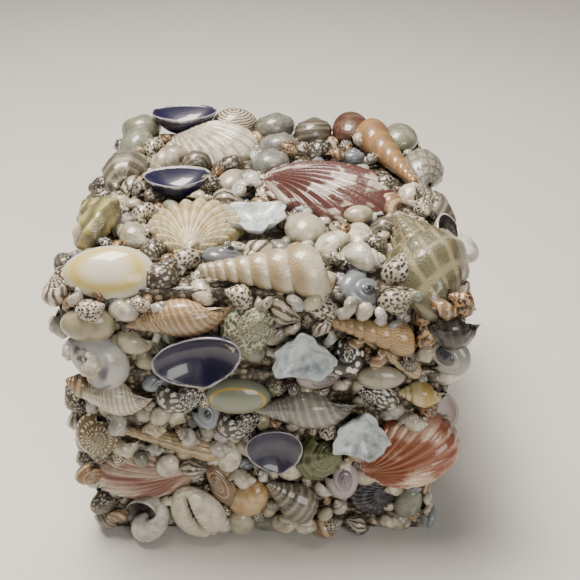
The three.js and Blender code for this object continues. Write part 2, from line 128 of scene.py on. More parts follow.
def shell_place(face_name, across, up, turn, rise, size):
    """The matrix that lays a unit shell on a face, with its tip turned that many degrees."""
    lay = Matrix.Translation((across, up, rise)) @ Matrix.Rotation(math.radians(turn), 4, "Z")
    stretch = Matrix.Diagonal((*size, 1))
    return Matrix.Scale(MM, 4) @ FACES[face_name] @ lay @ stretch


print("seam at", round(SEAM, 1), "mm, wood", 2 * HALF_WIDTH, "x", 2 * HALF_DEPTH, "x", TOP)

# %% [markdown]
# ## How a snail grows its shell
# A snail adds to the mouth of its shell all its life, and each addition is a slightly larger copy
# of the last one, turned a little further round. So the whole shell is one ring, extruded again
# and again with one and the same matrix: a small turn about the axis and a small shrink towards
# the tip. Tall augers, round moon snails and flat buttons differ only in a few numbers. Spiral
# cords come from the ring's own outline, and ribs from making some of the rings a bit larger.

# %% Helpers to finish a mesh
def ring_middle(verts):
    total = Vector()
    for vert in verts:
        total += vert.co
    return total / len(verts)


def extruded(bm, edges):
    """Extrudes an edge ring and gives its new points and edges."""
    made = bmesh.ops.extrude_edge_only(bm, edges=edges)["geom"]
    verts = [part for part in made if isinstance(part, bmesh.types.BMVert)]
    new_edges = [part for part in made if isinstance(part, bmesh.types.BMEdge)]
    return verts, new_edges


def unit_mesh(name, bm, turned):
    """Turns the shell, brings it to 1 long, 1 wide and 1 high, standing on Z 0, and keeps it."""
    bmesh.ops.transform(bm, matrix=turned, verts=bm.verts)
    lows = Vector(min(vert.co[i] for vert in bm.verts) for i in range(3))
    highs = Vector(max(vert.co[i] for vert in bm.verts) for i in range(3))
    span = highs - lows
    foot = Vector(((lows.x + highs.x) / 2, (lows.y + highs.y) / 2, lows.z))
    bmesh.ops.translate(bm, vec=-foot, verts=bm.verts)
    bmesh.ops.scale(bm, vec=(1 / span.x, 1 / span.y, 1 / span.z), verts=bm.verts)
    bmesh.ops.recalc_face_normals(bm, faces=bm.faces)
    along = bm.verts.layers.float["along"]
    around = bm.verts.layers.float["around"]
    uv = bm.loops.layers.uv.new("growth")
    for each in bm.faces:
        each.smooth = True
        wraps = max(vert[around] for vert in each.verts) > 0.75  # the face may cross the map's seam
        for loop in each.loops:
            spot = loop.vert[around]
            if wraps and spot < 0.25:
                spot += 1
            loop[uv].uv = (loop.vert[along], spot)
    mesh = bpy.data.meshes.new(name)
    bm.to_mesh(mesh)
    bm.free()
    tint = mesh.attributes.new("tint", "FLOAT_COLOR", "POINT")
    tint.data.foreach_set("color", [1.0] * 4 * len(mesh.vertices))
    return mesh


# %% Grow a coiled shell
def coiled(name, turns, growth, ring, climb, sides, steps, canal=0.0, cords=0, cord=0.0,
           ribs=0, rib=0.0, roll=0.0, lean=90, lip=0.0):
    """Sweeps a ring round Z. ring is how far it reaches out, up and down, and growth how much is left
    of it a whorl later. roll turns the shell about its axis, and lean tips the axis over from upright."""
    bm = bmesh.new()
    around = bm.verts.layers.float.new("around")
    along = bm.verts.layers.float.new("along")
    out, up, down = ring
    first = bmesh.ops.create_circle(bm, cap_ends=False, radius=1, segments=sides)["verts"]
    for number, vert in enumerate(first):
        angle = 2 * math.pi * number / sides
        grooved = 1 + cord * math.cos(cords * angle)
        below = max(0.0, -math.sin(angle))
        x = out * math.cos(angle) * grooved * (1 - 0.5 * canal * below ** 2)
        z = (up if math.sin(angle) > 0 else down) * math.sin(angle) * grooved
        vert.co = (1 - out + x - canal * out * below ** 2, 0, z - climb)
        vert[around] = number / sides
    mouth = bm.edges[:]
    step = Matrix.Rotation(2 * math.pi / steps, 4, "Z") @ Matrix.Scale(growth ** (1 / steps), 4)
    edges = mouth
    rings = [first]
    for number in range(1, round(turns * steps) + 1):
        verts, edges = extruded(bm, edges)
        bmesh.ops.transform(bm, matrix=step, verts=verts)
        for vert in verts:
            vert[along] = number / steps
        rings.append(verts)
    for number, verts in enumerate(rings[:-1]):
        swell = 1 + rib * max(0.0, math.cos(2 * math.pi * ribs * number / steps)) ** 2
        if number < steps * 0.08:
            swell += lip
        if swell != 1:
            middle = Matrix.Translation(-ring_middle(verts))
            bmesh.ops.scale(bm, vec=(swell,) * 3, space=middle, verts=verts)
    bmesh.ops.pointmerge(bm, verts=rings[-1], merge_co=ring_middle(rings[-1]))
    back = Matrix.Identity(4)
    for share in (0.86, 0.8, 0.72):  # the lip's thickness, then the throat
        verts, mouth = extruded(bm, mouth)
        middle = Matrix.Translation(-ring_middle(verts))
        bmesh.ops.scale(bm, vec=(share,) * 3, space=middle, verts=verts)
        bmesh.ops.transform(bm, matrix=back, verts=verts)
        back = Matrix.Rotation(0.45, 4, "Z") @ Matrix.Scale(0.95, 4)
        # These rings, marked -1, are where the material paints shade inside the mouth.
        for vert in verts:
            vert[along] = -1
    bmesh.ops.pointmerge(bm, verts=verts, merge_co=ring_middle(verts))
    turned = Matrix.Rotation(math.radians(lean), 4, "Y") @ Matrix.Rotation(math.radians(roll), 4, "Z")
    return unit_mesh(name, bm, turned)


# %% [markdown]
# ## Two-part shells, cowries and limpets
# A scallop's ribs all start at its hinge, so its round back is a sphere whose points are pulled
# towards the hinge instead of its middle, with every other line of points raised into a rib.
# A clam seen from inside is the same kind of sphere, with its upper half pushed in as a dish.

# %% Reshape a sphere
def reshaped(name, columns, rows, place):
    """Moves each point of a sphere to place(angle about Z, share of the way down), which may say as
    well that the point is inside the shell's mouth."""
    bm = bmesh.new()
    around = bm.verts.layers.float.new("around")
    along = bm.verts.layers.float.new("along")
    bmesh.ops.create_uvsphere(bm, u_segments=columns, v_segments=rows, radius=1)
    for vert in bm.verts:
        angle = math.atan2(vert.co.y, vert.co.x)
        share = math.acos(max(-1.0, min(1.0, vert.co.z))) / math.pi
        vert[around] = angle / (2 * math.pi) % 1
        vert[along] = 2 * share
        x, y, z, *inside = place(angle, 2 * share)
        vert.co = (x, y, z)
        # Points inside the mouth are marked -1, where the material paints shade.
        if any(inside):
            vert[along] = -1
    return unit_mesh(name, bm, Matrix.Identity(4))


def ribbed(name, ribs, columns, rows, depth, hinge=0.47, sharp=1.0, taper=0.27):
    """A scallop or cockle, hinge at +X: down runs 0 at the hinge, 1 at the rim, 2 underneath."""
    def place(angle, down):
        reach = min(1.0, down ** 0.8) if down <= 1 else 2 - down
        wave = 0.5 + 0.5 * math.cos(angle * ribs)
        scallop = 1 + 0.012 * wave
        rim = Vector((0.5 * math.cos(angle), 0.48 * math.sin(angle) * (1 - taper * math.cos(angle)), 0))
        x = hinge + (rim.x * scallop - hinge) * reach
        y = rim.y * scallop * reach
        inside = max(0.0, 1 - (2 * x) ** 2 - (2 * y) ** 2)
        back = 0.1 + 0.9 * math.sqrt(inside)
        crest = depth * (wave ** sharp) * min(1.0, reach * 2.5)
        if down > 1:
            return x, y, -0.03 * (2 - down)
        return x, y, (back + crest * 2.4) * (1 - 0.18 * max(0.0, down - 0.93) / 0.07)
    return reshaped(name, columns, rows, place)


def dish(name, columns, rows, jag=0.0, floor=0.35, ridges=0):
    """A clam's inside or a worn limpet, open side up, with an uneven rim where it is broken."""
    def place(angle, down):
        reach = down if down <= 1 else 2 - down
        tooth = math.sin(3 * angle + 1) + 0.8 * math.sin(5 * angle + 2) + 0.5 * math.sin(11 * angle)
        edge = 0.5 * (1 + jag * tooth)
        beak = 0.06 * math.exp(-(angle / 0.3) ** 2)
        x = (edge + beak) * math.cos(angle) * reach
        y = edge * math.sin(angle) * (1 - 0.16 * math.cos(angle)) * reach
        rim = 1 + 1.5 * jag * math.sin(4 * angle)
        ripple = 0.035 * math.cos(ridges * angle + 1) * reach if ridges else 0
        if down <= 1:
            return x, y, floor + (rim - floor) * reach ** 2 + ripple
        return x * 1.01, y * 1.01, rim * reach ** 3 * 0.96 + ripple
    return reshaped(name, columns, rows, place)


def egg(name, columns, rows, blunt=0.12):
    """A smooth oval shell such as a cowrie or an olive, a little wider towards one end."""
    def place(angle, down):
        spread = math.sin(down * math.pi / 2)
        x = 0.5 * spread * math.cos(angle)
        y = 0.5 * spread * math.sin(angle) * (1 - blunt * math.cos(angle) * spread)
        z = 0.5 + 0.5 * math.cos(down * math.pi / 2)
        return x, y, z
    return reshaped(name, columns, rows, place)


def cowrie_mouth(name, columns, rows):
    """A cowrie on its back, with teeth along both lips of its slit."""
    def place(angle, down):
        spread = math.sin(down * math.pi / 2)
        x = 0.5 * spread * math.cos(angle)
        y = 0.5 * spread * math.sin(angle) * (1 - 0.18 * math.cos(angle))
        z = 0.5 + 0.5 * math.cos(down * math.pi / 2)
        slit = 0
        if down < 1:
            bend = y - 0.03 * math.cos(x * 5)
            slit = math.exp(-(bend / 0.045) ** 2) * (0.5 - abs(x)) * 1.6
            tooth = 0.05 * math.cos(x * 2 * math.pi * 13) * math.exp(-((abs(bend) - 0.09) / 0.05) ** 2)
            z = z * 0.94 - min(0.55, slit) + tooth
        return x, y, z, slit > 0.3
    return reshaped(name, columns, rows, place)


# %% Grow one of each kind
# coiled: whorls, growth, ring, climb, points round the ring, and rings to a whorl
FINE = {
    "auger": coiled("auger", 8, 0.82, (0.5, 0.9, 0.7), 5.4, 24, 30, cords=12, cord=0.012, roll=20),
    "ribbed_auger": coiled("ribbed_auger", 9, 0.83, (0.5, 0.8, 0.65), 5.2, 14, 48, ribs=16, rib=0.07,
                           roll=60),
    "whelk": coiled("whelk", 6, 0.64, (0.6, 0.85, 0.95), 2.0, 32, 40, canal=0.25, cords=11, cord=0.022,
                    ribs=12, rib=0.07, roll=30),
    "frog": coiled("frog", 5, 0.6, (0.62, 0.75, 1.0), 1.8, 36, 40, canal=0.2, cords=8, cord=0.045,
                   ribs=8, rib=0.1, roll=60, lip=0.12),
    "murex": coiled("murex", 5, 0.6, (0.6, 0.7, 1.05), 1.9, 30, 40, canal=0.3, cords=7, cord=0.045,
                    ribs=6, rib=0.25, roll=30, lip=0.08),
    "moon": coiled("moon", 5, 0.5, (0.6, 0.55, 0.62), 0.75, 24, 30, lean=35, roll=120),
    "moon_mouth": coiled("moon_mouth", 5, 0.5, (0.6, 0.55, 0.7), 0.75, 26, 30, lean=115, roll=-75, lip=0.03),
    "turban": coiled("turban", 5, 0.6, (0.6, 0.6, 0.6), 1.25, 30, 40, lean=40, roll=60, cords=8, cord=0.04,
                     ribs=10, rib=0.12),
    "button": coiled("button", 6, 0.62, (0.5, 0.34, 0.3), 0.62, 20, 30, lean=25, roll=90),
    "beaded": coiled("beaded", 6, 0.66, (0.45, 0.32, 0.34), 0.8, 28, 56, lean=20, roll=0, cords=6, cord=0.06,
                     ribs=22, rib=0.05),
    "cone": coiled("cone", 7, 0.74, (0.5, 0.75, 0.6), 2.0, 24, 36, cords=7, cord=0.05, ribs=12, rib=0.08),
    "egg": egg("egg", 32, 20),
    "cowrie": egg("cowrie", 40, 24, blunt=0.1),
    "cowrie_mouth": cowrie_mouth("cowrie_mouth", 96, 48),
    "scallop": ribbed("scallop", 22, 176, 24, depth=0.05),
    "cockle": ribbed("cockle", 20, 160, 24, depth=0.06, sharp=0.7),
    "clam": dish("clam", 56, 26),
    "limpet": dish("limpet", 66, 26, jag=0.075, floor=0.3, ridges=5),
    "flake": dish("flake", 66, 26, jag=0.075, floor=0.3, ridges=4),
}
PLAIN = {  # for the longer small shells on the top, the front and the edges
    "nassa": coiled("nassa", 4, 0.62, (0.6, 0.85, 0.85), 1.75, 14, 18, canal=0.12, ribs=12, rib=0.1, cords=5,
                    cord=0.03, roll=40),
    "conch": coiled("conch", 4, 0.6, (0.62, 0.6, 1.0), 1.6, 14, 16, canal=0.3, ribs=7, rib=0.2, roll=30),
    "button": coiled("small_button", 4, 0.58, (0.5, 0.36, 0.32), 0.62, 12, 18, lean=25, roll=90),
    "moon": coiled("small_moon", 3, 0.5, (0.6, 0.55, 0.62), 0.75, 14, 18, lean=35, roll=120),
    "egg": egg("small_egg", 18, 10),
    "clam": dish("small_clam", 24, 10),
}
TINY = {  # for the rest, which are hundreds
    "nassa": coiled("tiny_nassa", 2, 0.5, (0.6, 0.85, 0.85), 1.7, 6, 6, canal=0.12, roll=40),
    "conch": coiled("tiny_conch", 2, 0.46, (0.62, 0.65, 1.0), 1.5, 6, 6, canal=0.3, roll=30),
    "button": coiled("tiny_button", 1.5, 0.5, (0.5, 0.36, 0.32), 0.62, 6, 8, lean=25, roll=90),
    "moon": coiled("tiny_moon", 1.5, 0.45, (0.6, 0.55, 0.62), 0.75, 6, 8, lean=35, roll=120),
    "egg": egg("tiny_egg", 9, 5),
}
for batch in (FINE, PLAIN, TINY):
    print({kind: len(mesh.polygons) for kind, mesh in batch.items()})

# %% [markdown]
# ## Varnished shell
# Sea shell is layered aragonite, a chalky mineral that polishes like porcelain, and here it is
# under clear gloss varnish. To the eye that is a soft satin ground with a sharp wet highlight on
# top: a rough base with a smooth coat over it. The markings follow growth, so they are drawn in
# the shell's own map, where U counts turns from the mouth (or runs from hinge to rim) and V goes
# once round the ring (or round the rim). A spot then shrinks towards the tip, as a real one does.

# %% Node helpers
def rgb(text):
    """An sRGB hex colour as the linear colour that Blender wants."""
    channels = [int(text[i:i + 2], 16) / 255 for i in (0, 2, 4)]
    return [c / 12.92 if c <= 0.04045 else ((c + 0.055) / 1.055) ** 2.4 for c in channels] + [1]


def add(tree, kind, settings=None, inputs=None):
    """Adds a node, with its settings, its values and its links."""
    node = tree.nodes.new(kind)
    for key, value in (settings or {}).items():
        setattr(node, key, value)
    for key, value in (inputs or {}).items():
        if isinstance(value, bpy.types.NodeSocket):
            tree.links.new(value, node.inputs[key])
        else:
            node.inputs[key].default_value = value
    return node


def maths(tree, operation, *values):
    return add(tree, "ShaderNodeMath", {"operation": operation}, dict(enumerate(values))).outputs[0]


def noise_at(tree, size_mm, detail=2):
    """Soft noise in the object's own coordinates, with lumps of that many mm."""
    spot = add(tree, "ShaderNodeTexCoord").outputs["Object"]
    inputs = {"Vector": spot, "Scale": 1 / (size_mm * MM), "Detail": detail}
    return add(tree, "ShaderNodeTexNoise", {}, inputs).outputs["Fac"]


def fade(tree, value, start, end, to_start=0.0, to_end=1.0):
    """Turns start..end into to_start..to_end, with soft ends."""
    inputs = {"Value": value, "From Min": start, "From Max": end, "To Min": to_start, "To Max": to_end}
    return add(tree, "ShaderNodeMapRange", {"interpolation_type": "SMOOTHSTEP"}, inputs).outputs[0]


def mixed(tree, share, first, second, blend="MIX"):
    settings = {"data_type": "RGBA", "blend_type": blend}
    return add(tree, "ShaderNodeMix", settings, {0: share, 6: first, 7: second}).outputs[2]


def bumped(tree, height, strength, depth_mm):
    inputs = {"Height": height, "Strength": strength, "Distance": depth_mm * MM}
    return add(tree, "ShaderNodeBump", {}, inputs).outputs[0]


def new_material(name, roughness, coat):
    material = bpy.data.materials.new(name)
    material.use_nodes = True
    shader = material.node_tree.nodes["Principled BSDF"]
    shader.inputs["Roughness"].default_value = roughness
    shader.inputs["Coat Weight"].default_value = coat
    shader.inputs["Coat Roughness"].default_value = 0.06
    return material, material.node_tree, shader


# %% Markings on a shell
def wave(tree, place, count):
    """0 to 1 and back, count times for each 1 along place."""
    swing = maths(tree, "SINE", maths(tree, "MULTIPLY", place, 2 * math.pi * count))
    return maths(tree, "MULTIPLY_ADD", swing, 0.5, 0.5)


WOBBLE = 0.12  # of a whorl, how far the marks stray


def markings(tree, style, across, around, wobble):
    """How strongly the marking's colour shows, 0 to 1, before its edge is sharpened."""
    uv = add(tree, "ShaderNodeUVMap", {"uv_map": "growth"}).outputs[0]
    if style in ("spots", "streaks"):
        spread = add(tree, "ShaderNodeMapping", {}, {"Vector": uv, "Scale": (across, around, 1)}).outputs[0]
        if style == "streaks":  # blotches drawn out along the growth
            inputs = {"Vector": spread, "Scale": 1, "Detail": 3}
            return add(tree, "ShaderNodeTexNoise", {"noise_dimensions": "2D"}, inputs).outputs["Fac"]
        inputs = {"Vector": spread, "Scale": 1}
        cells = add(tree, "ShaderNodeTexVoronoi", {"voronoi_dimensions": "2D"}, inputs)
        return maths(tree, "SUBTRACT", 1, cells.outputs["Distance"])
    if style == "blotch":
        return wobble
    split = add(tree, "ShaderNodeSeparateXYZ", {}, {0: uv})
    grown = maths(tree, "MULTIPLY_ADD", wobble, WOBBLE, split.outputs[0])
    if style == "lattice":  # thin lines both ways
        ridges = wave(tree, split.outputs[0], across)
        return maths(tree, "MAXIMUM", ridges, wave(tree, split.outputs[1], around))
    if style == "beads":  # rows of dots along the spiral
        return maths(tree, "MULTIPLY", wave(tree, grown, across), wave(tree, split.outputs[1], around))
    if style == "across":  # stripes from whorl to whorl, or growth rings
        return wave(tree, grown, across)
    if style == "round":  # bands that follow the spiral, or rays
        return wave(tree, split.outputs[1], around)
    if style == "apex":  # everything from that whorl to the tip
        return maths(tree, "ADD", maths(tree, "SUBTRACT", grown, across), 0.5)
    middle = across + WOBBLE / 2
    away = maths(tree, "ABSOLUTE", maths(tree, "SUBTRACT", grown, middle))  # a single ring
    return maths(tree, "SUBTRACT", 1, maths(tree, "DIVIDE", away, around))


SATIN = 0.4  # roughness of the shell under the varnish
VARNISH = 0.8  # weight of the coat
THROAT_PAINTED_SHADE = "1d1411"  # painted shade: near black deep inside a mouth, where little light gets in


def shell_material(name, ground, marks, style, across, around, show, soft, ribs, grime_and_groove_shade, blotch, bump):
    """A ground colour with marks on it, drawn in the shell's own map, under varnish, with painted shade
    inside the mouth and in the grooves between any ribs.
    """
    material, tree, shader = new_material(name, SATIN, VARNISH)
    wobble = noise_at(tree, 3, 3)
    raw = markings(tree, style, across, around, wobble)
    marked = fade(tree, raw, 1 - show - soft, 1 - show + soft)
    colour = mixed(tree, marked, rgb(ground), rgb(marks))
    colour = mixed(tree, fade(tree, noise_at(tree, 5, 3), 0.45, 0.75, 0, blotch), colour, rgb(grime_and_groove_shade))
    uv = add(tree, "ShaderNodeUVMap", {"uv_map": "growth"}).outputs[0]
    place = add(tree, "ShaderNodeSeparateXYZ", {}, {0: uv})
    # Painted shade: past the lip, the inside of the mouth fades to near black.
    colour = mixed(tree, fade(tree, place.outputs[0], -0.7, -0.2, 1, 0), colour, rgb(THROAT_PAINTED_SHADE))
    if ribs:
        # Painted shade: the grooves between the ribs take the darker groove colour.
        crest = wave(tree, maths(tree, "ADD", place.outputs[1], 0.25 / ribs), ribs)
        colour = mixed(tree, fade(tree, crest, 0, 0.3, 0.8, 0), colour, rgb(grime_and_groove_shade))
    tint = add(tree, "ShaderNodeAttribute", {"attribute_name": "tint"}).outputs["Color"]
    tree.links.new(mixed(tree, 1.0, colour, tint, "MULTIPLY"), shader.inputs["Base Color"])
    relief = maths(tree, "ADD", noise_at(tree, 0.7), maths(tree, "MULTIPLY", marked, 0.3))
    tree.links.new(bumped(tree, relief, bump, 0.3), shader.inputs["Normal"])
    return material


# %% The finishes
# name: ground, marks, style, across, around, how much of the ground the marks cover, how soft they are.
# Spots, streaks, stripes, bands, beads and the lattice come across times to a whorl and around times
# round it. A ring lies at whorl across and fades within around whorls, and an apex starts at whorl
# across. A blotch needs neither.
FINISHES = {
    "cream_auger": ("c6bca4", "9d8865", "round", 1, 3, 0.3, 0.4),
    "gold_ring": ("d3cfbb", "c9b25e", "ring", 0.5, 0.3, 0.45, 0.55),
    "brown_whelk": ("8f7456", "b59c78", "round", 1, 26, 0.35, 0.4),
    "purple_clam": ("19153a", "b5b0b4", "ring", 1.0, 0.07, 0.5, 0.25),
    "zigzag_nerite": ("b3b2ae", "3f4054", "streaks", 2, 2.5, 0.46, 0.05),
    "cream_bubble": ("a39a7c", "756f59", "blotch", 1, 1, 0.42, 0.2),
    "mossy": ("a5a38a", "4b4d38", "spots", 32, 26, 0.42, 0.2),
    "white_limpet": ("c9d2d5", "8b969c", "blotch", 1, 1, 0.42, 0.15),
    "black_dotted": ("141213", "d8d4c8", "spots", 9, 7, 0.26, 0.06),
    "glossy_black": ("131110", "3a2e27", "round", 1, 12, 0.25, 0.2),
    "tan_auger": ("94754c", "b3966a", "across", 30, 1, 0.3, 0.4),
    "pale_auger": ("ac9a77", "8e7450", "across", 14, 1, 0.25, 0.3),
    "grey_button": ("9b9891", "45484d", "apex", 1.6, 1, 0.5, 0.12),
    "blue_button": ("7d848b", "2f3338", "apex", 2.3, 1, 0.5, 0.2),
    "pink_button": ("b0a3a2", "8c7f86", "apex", 1.3, 1, 0.5, 0.2),
    "cream_cockle": ("dcd2b4", "c9b88e", "across", 5, 1, 0.3, 0.3),
    "white_cockle": ("d0c9ba", "b9ad97", "across", 4, 1, 0.3, 0.3),
    "beige_dome": ("b3ab97", "8a8372", "blotch", 1, 1, 0.38, 0.2),
    "red_scallop": ("5c3732", "c6bab0", "streaks", 4.5, 9, 0.42, 0.04),
    "orange_turret": ("a07a50", "7f5d3c", "round", 1, 3, 0.22, 0.35),
    "red_brown": ("4f2e25", "6f4b39", "blotch", 1, 1, 0.42, 0.2),
    "grey_moon": ("6c6d69", "a09f97", "blotch", 1, 1, 0.42, 0.2),
    "green_frog": ("5d5840", "877e60", "lattice", 14, 9, 0.14, 0.14),
    "chalk": ("cfccc3", "8f8c84", "blotch", 1, 1, 0.4, 0.2),
    "rough_grey": ("5d574b", "8d8575", "round", 1, 12, 0.35, 0.35),
    "netted_grey": ("9d9a90", "6e6a61", "lattice", 14, 16, 0.25, 0.25),
    "black_net": ("171617", "c9c6bd", "spots", 16, 15, 0.36, 0.07),
    "yellow_turban": ("656041", "b9ac69", "spots", 3, 4, 0.36, 0.15),
    "grey_green": ("74796a", "9b9c8b", "blotch", 1, 1, 0.42, 0.2),
    "striped_cream": ("cdc5b4", "a99d86", "round", 1, 26, 0.3, 0.3),
    "gold_line": ("7d8270", "b99a42", "ring", 0.62, 0.1, 0.45, 0.35),
    "grey_whelk": ("76746e", "97938a", "round", 1, 18, 0.35, 0.35),
    "orange_scallop": ("8f5436", "d3b49b", "streaks", 3, 5, 0.46, 0.1),
    "green_turban": ("454c28", "646a3f", "round", 1, 12, 0.3, 0.3),
    "beaded_brown": ("65573c", "cbc0a0", "beads", 22, 6, 0.4, 0.12),
    "pink_scallop": ("c4b09e", "8f6255", "streaks", 1.6, 12, 0.48, 0.1),
    "cowrie_under": ("d3cab7", "a89a80", "blotch", 1, 1, 0.35, 0.2),
    "dark_cockle": ("2f2c33", "5f5c62", "across", 4, 1, 0.3, 0.3),
    "orange_olive": ("b38d58", "dcc596", "blotch", 1, 1, 0.47, 0.2),
    "yellow_snail": ("c9ab5c", "e6d7a4", "round", 1, 3, 0.35, 0.3),
    "nassa_spotted": ("cdc3ae", "3b3028", "spots", 18, 12, 0.34, 0.08),
    "nassa_orange": ("a07a50", "35271d", "spots", 15, 10, 0.4, 0.08),
    "nassa_striped": ("cbc1af", "5a4b3d", "across", 9, 1, 0.4, 0.15),
    "nassa_dark": ("3e372f", "a89f8d", "spots", 18, 12, 0.28, 0.08),
    "white_conch": ("d6cfbf", "a99a80", "blotch", 1, 1, 0.44, 0.15),
    "cream_olive": ("bcb298", "857c66", "blotch", 1, 1, 0.4, 0.2),
    "brown_snail": ("85684b", "c2a985", "round", 1, 5, 0.3, 0.2),
}
RIBBED_FINISHES = {  # ribs, and the painted shade colour for the grooves between them
    "cream_cockle": (20, "947a4a"),
    "white_cockle": (20, "8d8271"),
    "red_scallop": (22, "4d2f2a"),
    "orange_scallop": (22, "87452c"),
    "pink_scallop": (22, "8b6a5c"),
    "dark_cockle": (20, "232024"),
}
POLISHED = ("purple_clam", "gold_ring", "gold_line", "glossy_black", "black_dotted", "beige_dome",
            "cream_bubble", "cream_olive", "orange_olive", "grey_button", "blue_button", "pink_button")
GRIME = "7d7058"  # what settles in the hollows of the rest
MATERIALS = {}
for name, finish in FINISHES.items():
    # A ribbed finish's groove colour is painted shade in its grooves and also tints its random blotches; the
    # other finishes get grime.
    ribs, groove_shade_and_grime = RIBBED_FINISHES.get(name, (0, GRIME))
    bump, blotch = (0.15, 0.15) if name in POLISHED else (0.8, 0.5)
    MATERIALS[name] = shell_material("varnished_shell_" + name, *finish, ribs, groove_shade_and_grime, blotch, bump)
print(len(MATERIALS), "shell finishes")

# %% [markdown]
# ## The big shells, one by one
# Each big shell is one of the grown kinds, brought to its own length and width and laid where the
# maker glued it. It replaces the plain solid of the same name and fills exactly that solid's box.

# %% Lay the big shells
HEIGHTS = {  # height as a share of the width
    "auger": 0.95, "ribbed_auger": 0.95, "whelk": 0.85, "frog": 0.85, "murex": 0.85, "cone": 0.85,
    "moon": 0.72, "moon_mouth": 0.72, "turban": 0.72, "button": 0.72, "beaded": 0.72,
    "egg": 0.75, "cowrie": 0.66, "cowrie_mouth": 0.55, "scallop": 0.33, "cockle": 0.36, "clam": 0.34,
    "limpet": 0.42, "flake": 0.24, "conch": 0.85, "nassa": 0.9,
}
GAP = 0.3  # mm between the wood and a shell
EDGE_SINK = 3  # mm that a shell on an edge lies lower
